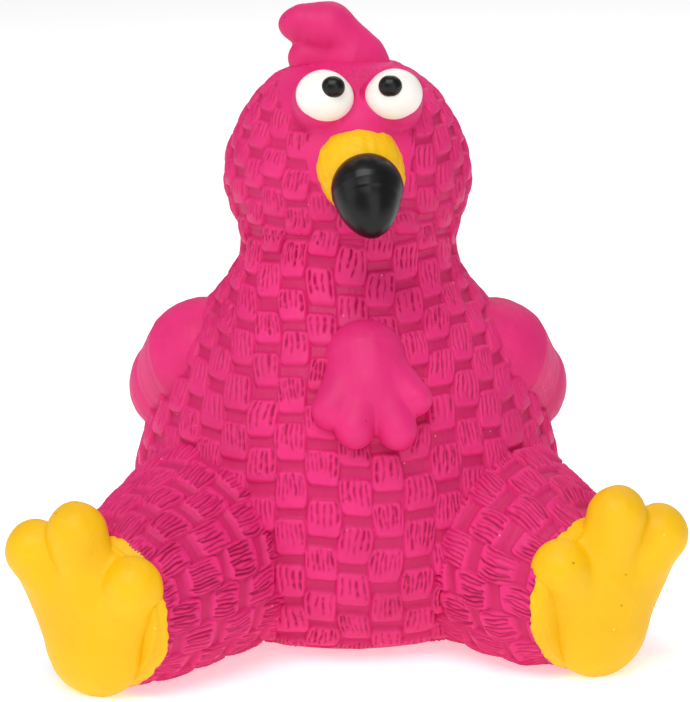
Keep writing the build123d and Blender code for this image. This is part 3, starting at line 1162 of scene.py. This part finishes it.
TUFT_CROWN = (0, -34.2, 67.6)
TAIL_ROOT = (0.0, 41.0, 31.0)
CENTRE_FORMS = [
    # Two lobes that lean to the bird's right, and the root that they stand on.
    Form("crest_lobes", "crest", Body.CREST, Slot.PINK, (-2.0, 0.1, 133.8), [
        ((3.4, 0.2, 131.4), (-4.8, 0.2, 137.9), 5.2, 5.9),
        ((-4.4, 0.2, 137.6), (-10.4, 0.3, 138.7), 5.9, 4.6),
        ((-9.4, 0.3, 138.4), (-13.0, 0.4, 138.7), 4.6, 2.9),
        ((1.2, 0, 130.4), (-9.6, -0.2, 130.9), 6.0, 4.2),
        ((0.5, 0, 129.8), (4.8, 0.2, 128.4), 6.8, 5.2),
    ], 0.55, 0.08, bend=(129.0, 134.5)),
    # Four feather ends that hang from one crown.
    Form("breast_tuft_lobes", "breast_tuft", Body.TORSO, Slot.PINK, TUFT_CROWN, [
        (TUFT_CROWN, (-8.8, -43.4, 58.6), 7.6, 4.3),
        (TUFT_CROWN, (-3.8, -46.4, 54.9), 8.2, 4.4),
        (TUFT_CROWN, (5.6, -46.3, 54.5), 8.2, 4.5),
        (TUFT_CROWN, (9.9, -43.2, 60.6), 7.6, 3.9),
        (TUFT_CROWN, (0.2, -39.5, 62.5), 8.9, 7.4),
    ], 0.5, 0.14, faced=True),
    Form("tail_lobes", "tail", Body.TORSO, Slot.PINK, TAIL_ROOT, [
        (TAIL_ROOT, end, 9.2, 5.2) for end in [(-10, 54, 40), (0, 56.5, 44), (10, 54, 40)]
    ], 0.6, 0.14),
    # The beak's yellow root, whose paint runs on to the bird's right.
    Form("beak_base_painted", "beak_base", Body.HEAD, Slot.YELLOW, (0, -21.0, 108.2), [
        ((0, -23.2, 108.8), (0.2, -23.4, 108.0), 10.2, 10.0),
        ((-4.4, -20.4, 108.6), (-4.2, -20.4, 106.0), 7.0, 6.8),
        ((-2.6, -20.8, 104.0), (-1.6, -21.0, 102.0), 6.8, 6.4),
    ], 0.7, 0.34, faced=True),
    # The drooping bill.
    Form("beak_tip_painted", "beak_tip", Body.HEAD, Slot.BLACK, (0.6, -33.6, 105.0), [
        ((0.6, -32.4, 106.3), (0.5, -34.8, 103.4), 7.6, 6.6),
        ((0.6, -33.4, 105.0), (0.8, -37.0, 101.1), 7.2, 4.5),
        ((0.6, -34.4, 103.8), (0.95, -38.2, 99.3), 6.4, 2.6),
    ], 0.9, 0.03, faced=True),
]


def side_forms(side: Side) -> List[Form]:
    """The forms of one side: a fat folded wing with three feather ends, an egg-shaped eye and a raised pupil.

    Args:
        side: the bird's own side.

    Returns:
        The forms, outermost first.
    """
    name, turn = side.name.lower(), side.value
    root = polar(33.2, 88 * turn, 59.2)
    feathers = [(39.5, 131, 50.5, 6.0), (39.8, 139, 59.5, 5.8), (36.0, 139, 69, 5.4)]
    wing = [(root, polar(39.2, 97 * turn, 53.0), 15.6, 12.9)]
    wing += [(root, polar(radius, bearing * turn, z), 12.4, size) for radius, bearing, z, size in feathers]
    x, y, z = middle(f"{name}_eye")
    eye = [((x - 0.3 * turn, y + 0.2, z + 0.1), (x + 0.3 * turn, y, z + 0.75), 6.15, 6.2, 1.1)]
    px, py, pz = middle(f"{name}_pupil")
    pupil = [((px - 0.25, py, pz), (px + 0.25, py, pz), PUPIL_RADIUS, PUPIL_RADIUS)]
    upright = np.array([0.0, 0.0, 1.0])
    return [
        Form(f"{name}_wing_folded", f"{name}_wing", Body.TORSO, Slot.PINK, root, wing, 0.7, 0.16),
        Form(f"{name}_eye_egg", f"{name}_eye", Body.HEAD, Slot.WHITE, (x, y, z + 0.4), eye, 0.4, 0.05,
             fineness=6, squash=upright),
        Form(f"{name}_pupil_drop", f"{name}_pupil", Body.HEAD, Slot.BLACK, (px, py, pz), pupil, 0.4, 0.05,
             fineness=5),
    ]


def middle(node: str) -> Point:
    """Middle of a CAD node's box, in millimetres."""
    low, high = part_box(node)
    return tuple((a + b) / 2 / MM for a, b in zip(low, high))


# ---- what the skins hold ----
@dataclass
class Stuffing:
    """Fibre in the body, the head and the legs, and the squeaker in the seat."""

    shrink: float = 0.55  # least distance inside the CAD filling, in millimetres
    leg_room: float = 2.2  # more of it in a leg
    voxel: float = 1.6

    def build_wad(self, node: str, body: Body) -> Piece:
        """Makes a lumpy wad of fibre on a CAD node's form.

        Args:
            node: the CAD node.
            body: the body that it rides on.

        Returns:
            The piece.
        """
        deselect()
        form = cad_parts[node]
        mesh = bpy.data.meshes.new_from_object(form)
        mesh.transform(form.matrix_world)
        wad = bpy.data.objects.new(f"{node}_wad", mesh)
        bpy.context.scene.collection.objects.link(wad)
        mesh.materials.clear()
        bpy.context.view_layer.objects.active = wad
        wad.select_set(True)
        bpy.ops.object.mode_set(mode="EDIT")
        bpy.ops.mesh.select_all(action="SELECT")
        bpy.ops.mesh.remove_doubles(threshold=1e-6)
        bpy.ops.object.mode_set(mode="OBJECT")
        remesh = wad.modifiers.new("even", "REMESH")
        remesh.mode, remesh.voxel_size = "VOXEL", self.voxel * MM
        bpy.ops.object.modifier_apply(modifier=remesh.name)
        points = read_points(wad) / MM
        normals = np.empty(len(points) * 3)
        wad.data.vertices.foreach_get("normal", normals)
        dent = self.shrink + 0.45 * (1 + swell(points, 11, 3.0)) + 0.2 * (1 + swell(points, 4, 6.0))
        if node.endswith("_leg_filling"):
            dent += self.leg_room
        write_points(wad, (points - normals.reshape(-1, 3) * dent[:, None]) * MM)
        bpy.ops.object.shade_smooth()
        dress(wad, Slot.FIBRE, [node])
        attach(wad, body.value)
        return wad

    def dress_squeaker(self) -> List[Piece]:
        """Gives the squeaker's CAD parts their finishes.

        Returns:
            The parts.
        """
        names = ("housing", "cap", "reed_block", "reed_clip", "reed")
        parts = [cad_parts["squeaker_" + name] for name in names]
        for part in parts:
            material = finish(Slot.BRASS if part is parts[-1] else Slot.PLASTIC)
            for spot in part.material_slots:
                spot.material = material
            if not part.material_slots:
                part.data.materials.append(material)
        return parts


# ---- studio ----
LAMPS = [  # name, place, height that it points at over the origin, width, and power in watts
    ("key", (-0.2, -0.6, 1.2), 0.06, 0.9, 10.0),
    ("fill_front", (0.5, -1.3, 0.5), 0.06, 1.0, 3.7),
    ("fill_left", (-1.1, -0.5, 0.5), 0.06, 0.8, 2.1),
    ("back", (0.3, 1.0, 1.0), 0.08, 0.9, 2.8),
]


@dataclass
class Studio:
    """A pale sweep, soft lights and the camera."""

    target_z: float = 0.067
    distance: float = 0.7
    elevation: float = 12.5
    lens: float = 153.2
    shift: Tuple[float, float] = (-0.0043, -0.030)
    room_light: float = 0.34
    floor_glow: float = 0.46

    def build(self) -> None:
        """Sets up the floor, the lights, the room and the camera."""
        self.sweep()
        for lamp in LAMPS:
            self.light(*lamp)
        world = bpy.data.worlds.new("white_room")
        world.use_nodes = True
        air = world.node_tree.nodes["Background"].inputs
        air["Color"].default_value = (1, 1, 1, 1)
        air["Strength"].default_value = self.room_light
        bpy.context.scene.world = world
        bpy.context.scene.view_settings.view_transform = "Standard"
        self.camera()

    def sweep(self) -> None:
        """A wide matt white paper floor, which glows a little so that it stays white."""
        deselect()
        bpy.ops.mesh.primitive_plane_add(size=8)
        floor = bpy.context.object
        floor.name = "paper_sweep"
        paper = Grained("matt_white_paper", "#F6F6F6", "#F2F2F2", 0.85, 3.0, strength=0.05).material()
        shader = paper.node_tree.nodes["Principled BSDF"]
        shader.inputs["Emission Color"].default_value = (1, 1, 1, 1)
        shader.inputs["Emission Strength"].default_value = self.floor_glow
        floor.data.materials.append(paper)
        floor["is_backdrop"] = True

    def light(self, name: str, place: Point, aim_z: float, size: float, power: float) -> None:
        """Adds a soft square light.

        Args:
            name: name of the light.
            place: where it hangs.
            aim_z: height that it points at, over the origin.
            size: width in metres.
            power: strength in watts.
        """
        lamp = bpy.data.lights.new(name, "AREA")
        lamp.size, lamp.energy = size, power
        holder = bpy.data.objects.new(name, lamp)
        bpy.context.scene.collection.objects.link(holder)
        holder.location = place
        holder.rotation_euler = (Vector((0, 0, aim_z)) - Vector(place)).to_track_quat("-Z", "Y").to_euler()

    def camera(self) -> None:
        """A long lens in front of the bird, looking a little down."""
        angle = math.radians(self.elevation)
        eye = bpy.data.cameras.new("camera")
        eye.lens, eye.sensor_width = self.lens, 36.0
        eye.shift_x, eye.shift_y = self.shift
        holder = bpy.data.objects.new("camera", eye)
        bpy.context.scene.collection.objects.link(holder)
        back, up = self.distance * math.cos(angle), self.distance * math.sin(angle)
        holder.location = (0, -back, self.target_z + up)
        holder.rotation_euler = (math.pi / 2 - angle, 0, 0)
        bpy.context.scene.camera = holder


def main() -> None:
    """Builds the bird from the skin outwards and reports each piece."""
    logging.basicConfig(level=logging.INFO, format="%(message)s")
    Studio().build()
    skin, stuffing = Skin(), Stuffing()
    pieces = skin.build_torso() + [skin.build_head()]
    pieces += [form.build() for form in CENTRE_FORMS]
    legs = [
        Leg(Side.RIGHT, (-22.0, -18.0, 24.0), (-55.2, -64.4, 11.3), -26.0),
        Leg(Side.LEFT, (22.0, -14.0, 24.0), (55.8, -51.2, 11.3), 24.0),
    ]
    for leg in legs:
        pieces += [leg.build_skin(), leg.build_foot()]
        pieces += [form.build() for form in side_forms(leg.side)]
        pieces.append(stuffing.build_wad(leg.name("leg_filling"), leg.body()))
    pieces.append(stuffing.build_wad("torso_filling", Body.TORSO))
    pieces.append(stuffing.build_wad("head_filling", Body.HEAD))
    pieces += stuffing.dress_squeaker()
    for piece in pieces:
        log.info("%s: %d faces", piece.name, len(piece.data.polygons))
    deselect()
    boxes = {"cad": CAD_BOX, "visual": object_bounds()}
    plain = {key: [[float(c) for c in corner] for corner in box] for key, box in boxes.items()}


if __name__ == "__main__":
    main()
